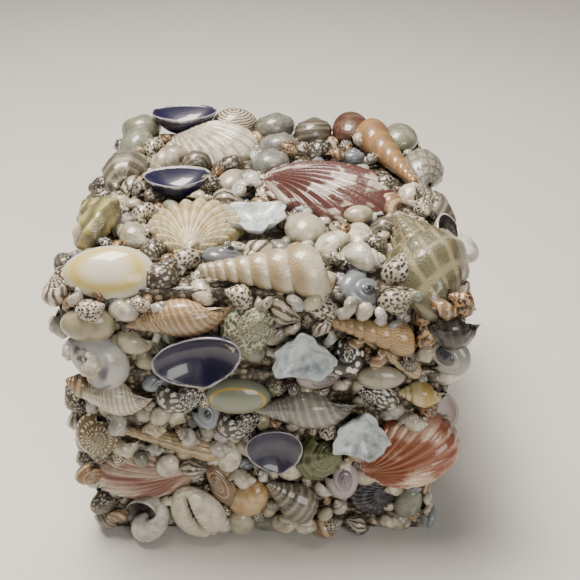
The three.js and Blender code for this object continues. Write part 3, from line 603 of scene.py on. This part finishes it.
# name, kind, finish, face, across, up, way its tip or hinge points, length, width, rise
BIG_SHELLS = [
    ("cream_auger_shell", "auger", "cream_auger", "front_top", 2, 5, 180, 38, 15, -EDGE_SINK),
    ("gold_ring_cowrie", "cowrie", "gold_ring", "front_top", -41, 5, 180, 25, 15, -EDGE_SINK),
    ("brown_whelk_shell", "whelk", "brown_whelk", "front", -21.5, 83.5, 193, 31, 12, GAP),
    ("lid_purple_clam_shell", "clam", "purple_clam", "front", -17, 72, -75, 17, 25, 3),
    ("zigzag_nerite_shell", "moon", "zigzag_nerite", "front", -45, 69, 150, 18, 16, GAP),
    ("cream_bubble_shell", "egg", "cream_bubble", "front", -47, 80.5, 180, 15, 11, GAP),
    ("rough_turban_shell", "turban", "mossy", "front", -4, 80.5, 60, 17, 15, GAP),
    ("lid_white_limpet_shell", "limpet", "white_limpet", "front", 12, 72.5, 90, 16, 18, 2),
    ("spotted_black_nerite_shell", "moon", "black_dotted", "front", 23.5, 69.5, 90, 12, 11, GAP),
    ("brown_auger_shell", "auger", "tan_auger", "front", 31, 78.5, 165, 28, 10, GAP),
    ("thin_auger_shell", "ribbed_auger", "pale_auger", "front", 37, 68.5, 145, 22, 5.5, 1),
    ("grey_button_shell", "button", "grey_button", "front", 52, 70, 150, 12, 12, GAP),
    ("black_whelk_shell", "whelk", "glossy_black", "front", 51, 79.5, 190, 18, 12, GAP),
    ("cream_fan_cockle_shell", "cockle", "cream_cockle", "top", -20, -21, -93, 30, 30, GAP),
    ("top_white_limpet_shell", "flake", "white_limpet", "top", -3, -22, -80, 18, 21, 4),
    ("beige_dome_shell", "egg", "beige_dome", "top", 12, -23, 120, 14, 12, GAP),
    ("red_scallop_shell", "scallop", "red_scallop", "top", 19.5, 2, 165, 49, 35, GAP),
    ("white_cockle_shell", "cockle", "white_cockle", "top", -19.5, 40, 160, 34, 29, GAP),
    ("top_purple_clam_shell", "clam", "purple_clam", "top", -28, 1, -85, 15, 21, 3),
    ("back_purple_clam_shell", "clam", "purple_clam", "top", -31, 49, -85, 16, 24, 4),
    ("orange_turret_shell", "auger", "orange_turret", "top", 41, 27, -73, 50, 13, GAP),
    ("dark_cone_shell", "egg", "red_brown", "top", 30, 50, 90, 20, 14, GAP),
    ("grey_moon_shell", "moon", "grey_moon", "top", 1, 22, 90, 15, 13, GAP),
    ("grey_dome_shell", "moon", "grey_moon", "top", 4, 36, 70, 14, 13, GAP),
    ("green_frog_shell", "frog", "green_frog", "right_top", -39, 3, 35, 40, 24, -9),
    ("white_mouthed_moon_shell", "moon_mouth", "chalk", "right_top", -22, -6, 200, 17, 14, 1),
    ("grey_murex_shell", "murex", "rough_grey", "right_top", -7, -3, 80, 22, 12, 0),
    ("netted_barrel_shell", "whelk", "netted_grey", "right_top", 19, 0, 0, 33, 16, -1),
    ("yellow_turban_shell", "turban", "yellow_turban", "left_top", 19, 1, 200, 30, 20, -4),
    ("rough_grey_whelk_shell", "frog", "rough_grey", "left_top", -16, 2, 180, 34, 17, -5),
    ("grey_green_dome_shell", "egg", "grey_green", "left_top", -41, 2, 170, 18, 14, -EDGE_SINK),
    ("striped_whelk_shell", "whelk", "striped_cream", "front", -43, 55.5, 172, 24, 12, GAP),
    ("gold_line_cowrie", "cowrie", "gold_line", "front", -7, 54.5, 0, 19, 12, GAP),
    ("grey_ribbed_whelk_shell", "whelk", "grey_whelk", "front", 13, 51, 185, 31, 13, GAP),
    ("orange_scallop_shell", "scallop", "orange_scallop", "front", 44, 31, 205, 33, 30, GAP),
    ("box_white_limpet_shell", "limpet", "white_limpet", "front", 29.5, 44, 80, 18, 17, 4),
    ("box_purple_clam_shell", "clam", "purple_clam", "front", 3.5, 35.5, -80, 18, 17, 3),
    ("green_turban_shell", "turban", "green_turban", "front", 16.5, 31, 60, 17, 14, GAP),
    ("beaded_top_shell", "beaded", "beaded_brown", "front", -50, 40, 90, 14, 13, GAP),
    ("long_cream_auger_shell", "ribbed_auger", "pale_auger", "front", -29, 36.5, 163, 36, 8, GAP),
    ("pink_striped_scallop_shell", "scallop", "pink_scallop", "front", -37, 20, 12, 35, 21, GAP),
    ("box_white_moon_shell", "moon_mouth", "chalk", "front", -38, 5, 240, 17, 15, 1),
    ("toothed_cowrie", "cowrie_mouth", "cowrie_under", "front", -22, 7.5, 110, 23, 17, 2),
    ("ribbed_cone_shell", "cone", "rough_grey", "front", 9, 13, 140, 23, 14, GAP),
    ("grey_cockle_shell", "cockle", "dark_cockle", "front", 34, 10.5, 40, 17, 16, GAP),
    ("left_side_scallop_shell", "scallop", "pink_scallop", "left", 6, 30, 60, 30, 30, GAP),
    ("right_side_scallop_shell", "scallop", "red_scallop", "right", -4, 32, 120, 30, 30, GAP),
    ("back_scallop_shell", "scallop", "orange_scallop", "back", 10, 30, 75, 32, 32, GAP),
]


def laid(mesh, kind, face_name, across, up, turn, length, width, rise):
    """A copy of a unit shell, at its own size and place."""
    copy = mesh.copy()
    size = (length, width, width * HEIGHTS[kind])
    copy.transform(shell_place(face_name, across, up, turn, rise, size))
    return copy


def add_piece(name, mesh, node):
    """Puts a finished mesh in the scene in the place of a solid."""
    piece = bpy.data.objects.new(name, mesh)
    bpy.context.collection.objects.link(piece)
    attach(piece, "root")
    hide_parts(node)
    return piece


for name, kind, finish, *row in BIG_SHELLS:
    mesh = laid(FINE[kind], kind, *row)
    mesh.materials.append(MATERIALS[finish])
    add_piece("varnished_" + name, mesh, name)

# %% [markdown]
# ## The small shells between them
# Small shells fill every gap. They are thrown at each face like darts, longest first, and one that
# would land on a neighbour is thrown away, which is much how a maker fills a face. The throws come
# from a number sequence with a fixed start, so they never change.

# %% The small shells listed one by one
# kind, finish, face, across, up, way the tip points, length, width
SMALL_SHELLS = [
    ("nassa", "cream_olive", "front", -36, 74, 180, 14, 8),
    ("conch", "white_conch", "front", -37, 85, 35, 12, 8),
    ("conch", "cream_olive", "front", -33, 67.5, 145, 12, 7),
    ("conch", "chalk", "front_left", -7, 79, -100, 11, 8),
    ("button", "pink_button", "front", 16, 62, 0, 13, 9),
    ("egg", "beige_dome", "front", 34, 61, 0, 14, 8),
    ("nassa", "nassa_orange", "front", 44, 83, 120, 11, 7),
    ("nassa", "nassa_orange", "front", 54, 87, 150, 10, 8),
    ("nassa", "nassa_spotted", "front", 17, 85, 0, 12, 7),
    ("nassa", "nassa_striped", "front", 6, 85, -30, 12, 8),
    ("nassa", "nassa_spotted", "front", -5, 89, 160, 10, 8),
    ("nassa", "nassa_spotted", "front", 36, 88, 30, 11, 8),
    ("conch", "white_conch", "front", 46, 71, -70, 9, 7),
    ("button", "blue_button", "front_top", 27, 1, 0, 12, 11),
    ("conch", "white_conch", "front_top", 27, 10, 0, 14, 9),
    ("nassa", "nassa_dark", "front_top", -27, 4, 60, 13, 10),
    ("conch", "white_conch", "front_top", -16, 0, 0, 13, 8),
    ("nassa", "nassa_spotted", "front_top", 37, 6, 70, 12, 9),
    ("button", "blue_button", "top", -11, -38, 40, 12, 11),
    ("nassa", "nassa_spotted", "top", -37, -12, 100, 13, 8),
    ("conch", "white_conch", "top", -38, -26, 150, 16, 9),
    ("nassa", "nassa_dark", "top", -31, -34, 120, 13, 8),
    ("nassa", "nassa_spotted", "top", -21, -40, 90, 11, 9),
    ("egg", "white_conch", "top", 28, -26, 90, 15, 9),
    ("conch", "white_conch", "top", 20, -33, 90, 14, 11),
    ("nassa", "rough_grey", "top", 36, -22, 60, 12, 9),
    ("conch", "white_conch", "top", 46, 0, 90, 14, 9),
    ("egg", "beige_dome", "top", -11, 9, 70, 13, 10),
    ("nassa", "rough_grey", "top", -24, 22, 80, 14, 10),
    ("nassa", "white_conch", "top", -35, 22, 90, 14, 10),
    ("conch", "nassa_dark", "top", -13, 21, 60, 15, 9),
    ("button", "blue_button", "top", 29, 28, 80, 11, 10),
    ("nassa", "nassa_dark", "top", 18, 31, 90, 14, 10),
    ("nassa", "nassa_spotted", "top", -41, 37, 100, 14, 8),
    ("nassa", "nassa_striped", "top", -43, 6, 80, 14, 8),
    ("egg", "grey_green", "top", 47, 42, 90, 16, 13),
    ("egg", "nassa_striped", "top", -13, 53, 0, 17, 15),
    ("moon", "grey_moon", "top", 2, 51, 90, 16, 15),
    ("moon", "rough_grey", "top", 16, 48, 90, 16, 14),
    ("moon", "grey_green", "top", -47, 51, 90, 15, 14),
    ("nassa", "brown_snail", "front", -52, 58, 160, 10, 8),
    ("moon", "black_net", "front", -24, 54.5, 10, 14, 11),
    ("moon", "black_net", "front", 33.5, 54, 165, 13, 9),
    ("nassa", "yellow_snail", "front", 46, 55.5, 180, 14, 9),
    ("clam", "pink_button", "front", 54, 47, 90, 15, 8),
    ("button", "blue_button", "front", -17, 47, 90, 10, 9),
    ("moon", "black_net", "front", -7.5, 44, 20, 13, 11),
    ("conch", "white_conch", "front", -26, 46, 130, 10, 7),
    ("conch", "white_conch", "front", -35, 47, 60, 11, 7),
    ("conch", "white_conch", "front", -42, 33, 210, 9, 8),
    ("egg", "white_conch", "front", -11, 29, 90, 13, 8),
    ("egg", "orange_olive", "front", -5, 12, 60, 16, 12),
    ("button", "pink_button", "front", 24, 20, 90, 13, 11),
    ("egg", "grey_green", "front", 46, 9, 80, 14, 9),
    ("button", "brown_snail", "front", -55, 21, 0, 9, 8),
    ("button", "nassa_dark", "front", -52, 8, 0, 9, 9),
]
# The same, with how far each is raised: these sit in the dips between the others
PERCHED_SHELLS = [
    ("conch", "white_conch", "front", -46, 71, -80, 9, 6.5, 8),
    ("nassa", "nassa_spotted", "front", -45, 87, 30, 9, 7, 4),
    ("nassa", "nassa_orange", "front", 45, 77.5, -60, 9, 7, 3),
    ("nassa", "nassa_spotted", "front", 19.5, 42, 80, 8, 6, 3),
    ("conch", "white_conch", "front", 44, 46.5, 0, 9, 6, 4),
    ("conch", "white_conch", "front", -14, 34.5, 10, 9, 6, 3),
    ("egg", "white_conch", "front", -29.5, 28.5, 70, 9, 7, 4),
    ("nassa", "nassa_striped", "front", -22, 27, 0, 9, 6, 4),
    ("conch", "white_conch", "front", -7, 22, 0, 9, 7, 3),
    ("conch", "white_conch", "front", 12.5, 0.5, 80, 9, 8, 3),
    ("nassa", "white_conch", "front", -14, 0, 60, 8, 6, 3),
    ("nassa", "nassa_spotted", "front", 21, 0, 30, 9, 6, 3),
    ("nassa", "nassa_striped", "front", 30, 0.5, 160, 9, 6, 3),
    ("conch", "white_conch", "front", 24, 7, 120, 8, 6, 2),
    ("conch", "white_conch", "front", 39.5, 2, 30, 7, 6, 3),
    ("egg", "grey_green", "front", 2, -1, 0, 13, 6, 2),
    ("button", "brown_snail", "front", -14, 17, 120, 17, 9, 1),
    ("nassa", "nassa_dark", "front_left", -8, 47, 170, 12, 9, 0),
    ("nassa", "nassa_striped", "front_left", -9, 38, 100, 11, 9, 0),
    ("button", "brown_snail", "front_left", -9, 30, 80, 11, 9, 0),
    ("nassa", "nassa_dark", "front_left", -8, 22, 60, 12, 9, 0),
    ("conch", "chalk", "front_left", -7, 13, 90, 11, 9, 0),
    ("button", "nassa_dark", "front_left", -5, 4, 60, 10, 8, 0),
    ("nassa", "nassa_striped", "front_left", -8, 86, 90, 12, 9, 0),
    ("conch", "chalk", "front_left", -8, 75, -100, 12, 9, 0),
    ("nassa", "nassa_dark", "left_top", 41, -5, 60, 12, 9, 0),
    ("nassa", "rough_grey", "left_top", 33, -7, 90, 11, 9, 1),
    ("button", "nassa_dark", "left_top", -7, -5, 90, 9, 8, 2),
    ("button", "nassa_dark", "left_top", -14, -5, 90, 9, 8, 3),
    ("button", "brown_snail", "left_top", 2, -6, 90, 9, 8, 2),
    ("nassa", "nassa_striped", "front_right", 6, 86, 20, 11, 9, -2),
    ("nassa", "nassa_orange", "front_right", 4, 79, 10, 11, 9, -1),
    ("conch", "white_conch", "front_right", 6, 58, 90, 11, 9, -1),
    ("nassa", "rough_grey", "front_right", 6, 44, 90, 10, 9, -1),
    ("egg", "beige_dome", "front", -8, 1, 90, 11, 9, 2),
    ("conch", "white_conch", "front", 6, 1, 80, 11, 9, 2),
    ("nassa", "brown_snail", "front", 19, -1, 20, 11, 8, 2),
    ("nassa", "nassa_dark", "front", 30, -1, 160, 11, 8, 1),
    ("conch", "white_conch", "front", 42, 0, 30, 10, 8, 0),
    ("nassa", "rough_grey", "front", -52, 1, 30, 10, 8, 0),
]


def balls_of(face_name, across, up, turn, length, width, rise=0):
    """Balls along a shell's length, which stand for it when a neighbour looks for room."""
    count = max(1, math.floor(length / width + 0.5))
    radius = (length + width) / 4 if count == 1 else width / 2
    matrix = FACES[face_name] @ Matrix.Translation((across, up, width * 0.35 + rise))
    matrix = matrix @ Matrix.Rotation(math.radians(turn), 4, "Z")
    found = []
    for number in range(count):
        along = 0 if count == 1 else (number / (count - 1) - 0.5) * (length - width)
        found.append((matrix @ Vector((along, 0, 0)), radius))
    return found


balls = []
for name, kind, finish, *row, rise in BIG_SHELLS:
    balls += balls_of(*row)
for kind, finish, *row in SMALL_SHELLS:
    balls += balls_of(*row)
print(len(balls), "balls stand for the shells laid so far")


# %% Throw the rest
def numbers_from(seed):
    """A repeatable run of numbers from 0 to 1."""
    state = seed
    while True:
        state = state * 16807 % 2147483647
        yield state / 2147483647


STREWN_KINDS = ("nassa", "conch", "button", "egg", "nassa", "moon")
STREWN_SLIM = 0.75  # width as a share of the length
NEARBY = 20  # mm from a face: balls farther out can't be in the way
FINISH_CHOICE = {
    "nassa": ("nassa_spotted", "nassa_striped", "nassa_dark", "nassa_spotted", "brown_snail", "nassa_orange"),
    "conch": ("white_conch", "chalk", "white_conch", "cream_olive"),
    "button": ("blue_button", "grey_button", "pink_button", "nassa_dark", "brown_snail", "beige_dome"),
    "egg": ("cream_olive", "white_conch", "beige_dome", "grey_green"),
    "moon": ("grey_moon", "black_net", "chalk", "brown_snail", "zigzag_nerite"),
}


def thrown(numbers, area, lengths, tries, crowding, rise=0):
    """Throws shells of each length at an area of a face, and keeps the ones that find room."""
    face_name, left, right, low, high = area
    to_face = FACES[face_name].inverted()
    near = [ball for ball in balls if abs((to_face @ ball[0]).z) < NEARBY]
    placed = []
    for length in lengths:
        width = length * STREWN_SLIM
        for _ in range(tries):
            across = left + (right - left) * next(numbers)
            up = low + length / 2 + (high - low - length) * next(numbers)
            turn = 360 * next(numbers)
            kind = STREWN_KINDS[math.floor(len(STREWN_KINDS) * next(numbers))]
            centre, radius = balls_of(face_name, across, up, turn, length, width, rise)[0]
            if any((other - centre).length < (reach + radius) * crowding for other, reach in near):
                continue
            balls.append((centre, radius))
            near.append((centre, radius))
            choice = FINISH_CHOICE[kind]
            finish = choice[math.floor(turn) % len(choice)]
            placed.append((kind, finish, face_name, across, up, turn, length, width, rise))
    return placed


SEAM_EDGE = 1  # mm kept free on either side of the seam
SPANS = {
    "lid": (SEAM + SEAM_EDGE - ROW_ZERO, TOP - ROW_ZERO),
    "box": (GAP - ROW_ZERO, SEAM - SEAM_EDGE - ROW_ZERO),
}
FIRST_SEED = 11
HALVES = {"front": HALF_WIDTH, "back": HALF_WIDTH, "left": HALF_DEPTH, "right": HALF_DEPTH}
REGIONS = {"lid_top": ("top", HALF_WIDTH, -HALF_DEPTH, HALF_DEPTH, FIRST_SEED)}
for on, span in SPANS.items():
    for side, half in HALVES.items():  # face, half its width, its low and high ends, seed
        REGIONS[on + "_" + side] = (side, half, *span, FIRST_SEED + len(REGIONS))

FIRST_THROWS = ((15, 12), 10, 0.96)  # lengths, tries, crowding
shells_of = {}
for name, (face_name, half, low_end, high_end, seed) in REGIONS.items():
    area = (face_name, -half, half, low_end, high_end)
    shells_of[name] = thrown(numbers_from(seed), area, *FIRST_THROWS)
print("thrown first:", {name: len(shells) for name, shells in shells_of.items()})


def region_of(face_name, up):
    """The group that a listed shell belongs to."""
    if face_name == "top":
        return "lid_top"
    on_lid = "top" in face_name or up + ROW_ZERO > SEAM
    return ("lid_" if on_lid else "box_") + face_name.split("_")[0]


for kind, finish, face_name, across, up, *size in SMALL_SHELLS:
    rise = -EDGE_SINK if "_" in face_name else GAP
    shells_of[region_of(face_name, up)].append((kind, finish, face_name, across, up, *size, rise))
for shell in PERCHED_SHELLS:
    shells_of[region_of(shell[2], shell[4])].append(shell)
    balls += balls_of(*shell[2:])

SECOND_THROWS = (  # lengths, tries, crowding, rise: first on the bed, then into the dips above it
    ((12, 10), 120, 0.8, 0),
    ((8, 6.5, 5.5), 350, 0.76, 1),
    ((9, 7.5, 6), 350, 0.76, 4),
    ((6, 4.5), 450, 0.7, 2),
)
SEED_STEP = 100
PAST_SIDE = 3  # mm that these throws reach past a face
OVER_TOP = 4
for number, throws in enumerate(SECOND_THROWS, 1):
    for name, (face_name, half, low_end, high_end, seed) in REGIONS.items():
        over_top = OVER_TOP if name.startswith("lid") else 0
        below = PAST_SIDE if name == "lid_top" else 0
        area = (face_name, -half - PAST_SIDE, half + PAST_SIDE, low_end - below, high_end + over_top)
        shells_of[name] += thrown(numbers_from(SEED_STEP * number + seed), area, *throws)
print("thrown in all:", {name: len(shells) for name, shells in shells_of.items()})


# %% Throw some along the edges
CORNER_REACH = 5  # mm to either side of an edge
CORNER_THROWS = ((10, 8, 6.5, 5.2), 120, 0.72, -1)  # lengths, tries, crowding, rise
RIM_REACH = 7
RIM_THROWS = ((9, 7, 5.5), 300, 0.74, 0)
seed = 900
for end in ("front", "back"):
    for side in ("left", "right"):
        for on, span in SPANS.items():
            seed += 1
            area = (end + "_" + side, -CORNER_REACH, CORNER_REACH, *span)
            shells_of[on + "_" + end] += thrown(numbers_from(seed), area, *CORNER_THROWS)
for side, half in HALVES.items():
    seed += 1
    area = (side + "_top", -half, half, -RIM_REACH, RIM_REACH)
    shells_of["lid_" + side] += thrown(numbers_from(seed), area, *RIM_THROWS)
print("with the edges:", sum(len(shells) for shells in shells_of.values()))

# %% [markdown]
# ## Beds of glue and grit
# Between the small shells the maker's glue shows, full of grit and broken shell, dark and wet
# looking under the varnish. Its dark brown is partly the glue's own colour and partly painted shade
# for the deep gaps between the shells. Each face has its own bed, and beds meet at 45 degrees over the edges.

# %% The bed's finish
bed_material, tree, shader = new_material("dark_glue_and_grit_with_painted_shade", 0.45, 0.6)
grit = add(tree, "ShaderNodeTexCoord").outputs["Object"]
cells = add(tree, "ShaderNodeTexVoronoi", {}, {"Vector": grit, "Scale": 1 / (1.7 * MM)})
pale = fade(tree, add(tree, "ShaderNodeSeparateXYZ", {}, {0: cells.outputs["Color"]}).outputs[0], 0.45, 0.95)
# The glue's dark brown is partly its own colour and partly painted shade for the deep gaps between the
# shells; the grit is paler.
colour = mixed(tree, pale, rgb("4a3f30"), rgb("b3a88f"))
# Painted shade: each grit cell darkens towards its edge, where the bump sinks between the grains.
shade = fade(tree, cells.outputs["Distance"], 0.25, 0.8, 0, 0.8)
tree.links.new(mixed(tree, shade, colour, rgb("1f1912")), shader.inputs["Base Color"])
drop = maths(tree, "SUBTRACT", 1, cells.outputs["Distance"])
tree.links.new(bumped(tree, drop, 0.9, 0.8), shader.inputs["Normal"])


# %% Beds, and the small shells on them
BED_TOP = 2.6  # mm out from the wood
BED_LUMPS = 0.5
BED_CELL = 2


def bed(bm, face_name, half, low_end, high_end, on_top_edge):
    """A lumpy sheet over a face, with its rim turned in to the wood."""
    columns = round(2 * half / BED_CELL)
    rows = max(10, round((high_end - low_end) / BED_CELL))
    grid = bmesh.ops.create_grid(bm, x_segments=columns, y_segments=rows, size=1)["verts"]
    for vert in grid:
        x, y, z = vert.co
        across = x * (half + BED_TOP)
        bottom = low_end - (BED_TOP if face_name == "top" else 0)
        top = high_end + (BED_TOP if on_top_edge else 0)
        up = bottom + (top - bottom) * (y + 1) / 2
        inner = abs(x) < 0.999 and abs(y) < 0.999
        spot = Vector((across, up, len(face_name))) / 3
        lump = BED_LUMPS * noise.noise(spot) if inner else 0
        vert.co = FACES[face_name] @ Vector((across, up, BED_TOP + lump)) * MM
    rim = [edge for edge in bm.edges if edge.is_boundary]
    verts, edges = extruded(bm, rim)
    inward = FACES[face_name].to_3x3() @ Vector((0, 0, GAP - BED_TOP)) * MM
    bmesh.ops.translate(bm, vec=inward, verts=verts)
    if face_name != "top":
        across_way = FACES[face_name].col[0].to_3d()
        for vert in verts:
            side = vert.co.dot(across_way)
            limit = half * MM
            if abs(side) > limit:
                vert.co -= across_way * (side - math.copysign(limit, side))
    bmesh.ops.recalc_face_normals(bm, faces=bm.faces)
    for each in bm.faces:
        each.smooth = True


small_finishes = sorted({shell[1] for shells in shells_of.values() for shell in shells})
print(len(small_finishes), "finishes on the small shells")
TINY_BELOW = 7.8  # mm: shorter shells get the plainest meshes, and so do those on the plainer sides
SHOWY = ("lid_top", "lid_front", "box_front")

TINT_SEED = 77
tints = numbers_from(TINT_SEED)
for name, (face_name, half, low_end, high_end, seed) in REGIONS.items():
    bm = bmesh.new()
    bed(bm, face_name, half, low_end, high_end, name.startswith("lid"))
    for kind, finish, on_face, across, up, turn, length, width, rise in shells_of[name]:
        plainest = kind in TINY and (length < TINY_BELOW or (name not in SHOWY and "_" not in on_face))
        unit = TINY[kind] if plainest else PLAIN[kind]
        shell = laid(unit, kind, on_face, across, up, turn, length, width, rise)
        shade = 0.65 + 0.4 * next(tints)
        warm = 0.94 + 0.1 * next(tints)
        colour = (shade, shade * (1 + warm) / 2, shade * warm, 1.0)
        shell.attributes["tint"].data.foreach_set("color", colour * len(shell.vertices))
        number = 1 + small_finishes.index(finish)  # slot 0 is the bed
        shell.polygons.foreach_set("material_index", [number] * len(shell.polygons))
        bm.from_mesh(shell)
        bpy.data.meshes.remove(shell)
    mesh = bpy.data.meshes.new(name + "_small_shells")
    bm.to_mesh(mesh)
    bm.free()
    mesh.materials.append(bed_material)
    for finish in small_finishes:
        mesh.materials.append(MATERIALS[finish])
    add_piece("varnished_" + name + "_small_shells", mesh, name + "_small_shells")
    print(name, len(shells_of[name]), "shells,", len(mesh.polygons), "faces")

# %% [markdown]
# ## Wood
# The box under the shells is thin pale plywood, bare and sanded: dull, with fine streaks along
# its grain.

# %% Wood
wood, tree, shader = new_material("pale_plywood_sanded", 0.6, 0.0)
spot = add(tree, "ShaderNodeTexCoord").outputs["Object"]
grain = (1 / (30 * MM), 1 / (1.5 * MM), 1 / (1.5 * MM))  # streaks 30 mm long and 1.5 mm wide
along = add(tree, "ShaderNodeMapping", {}, {"Vector": spot, "Scale": grain}).outputs[0]
streaks = add(tree, "ShaderNodeTexNoise", {}, {"Vector": along, "Scale": 1, "Detail": 4}).outputs["Fac"]
board = mixed(tree, fade(tree, streaks, 0.3, 0.7), rgb("b98e5e"), rgb("d3ae7e"))
tree.links.new(board, shader.inputs["Base Color"])
for name in ("box_body", "lid"):
    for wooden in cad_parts[name].material_slots:
        wooden.material = wood

# %% [markdown]
# ## Floor and light
# A plain pale floor, a big soft light overhead a little to the left, and a dimmer one in front.
# The big light's reflection is what makes the varnish look wet.

# %% Floor
floor_mesh = bpy.data.meshes.new("floor")
bm = bmesh.new()
bmesh.ops.create_grid(bm, x_segments=1, y_segments=1, size=1.5)
bm.to_mesh(floor_mesh)
bm.free()
floor = bpy.data.objects.new("floor", floor_mesh)
bpy.context.collection.objects.link(floor)
floor_material, tree, shader = new_material("pale_matt_paper", 0.7, 0.0)
shader.inputs["Base Color"].default_value = rgb("cfccc6")
floor_mesh.materials.append(floor_material)
floor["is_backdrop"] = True


# %% Lights
def area_light(name, place, aim, size, watts, colour):
    data = bpy.data.lights.new(name, "AREA")
    data.shape = "RECTANGLE"
    data.size, data.size_y = size
    data.energy = watts
    data.color = rgb(colour)[:3]
    light = bpy.data.objects.new(name, data)
    light.location = place
    light.rotation_euler = (Vector(aim) - Vector(place)).to_track_quat("-Z", "Y").to_euler()
    bpy.context.collection.objects.link(light)
    light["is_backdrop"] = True


area_light("soft_light_overhead", (-0.15, 0.1, 0.75), (0, 0, 0.05), (0.4, 0.3), 14, "fff6e8")
area_light("soft_light_in_front", (0.35, -0.7, 0.45), (0, 0, 0.05), (0.4, 0.4), 3.5, "fffaf2")
world = bpy.data.worlds.new("pale_room")
world.use_nodes = True
world.node_tree.nodes["Background"].inputs["Color"].default_value = rgb("d9dde2")
world.node_tree.nodes["Background"].inputs["Strength"].default_value = 0.13
bpy.context.scene.world = world

# %% Sizes
size = {"cad": [list(corner) for corner in cad_box], "visual": [list(corner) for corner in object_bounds()]}
print(size)
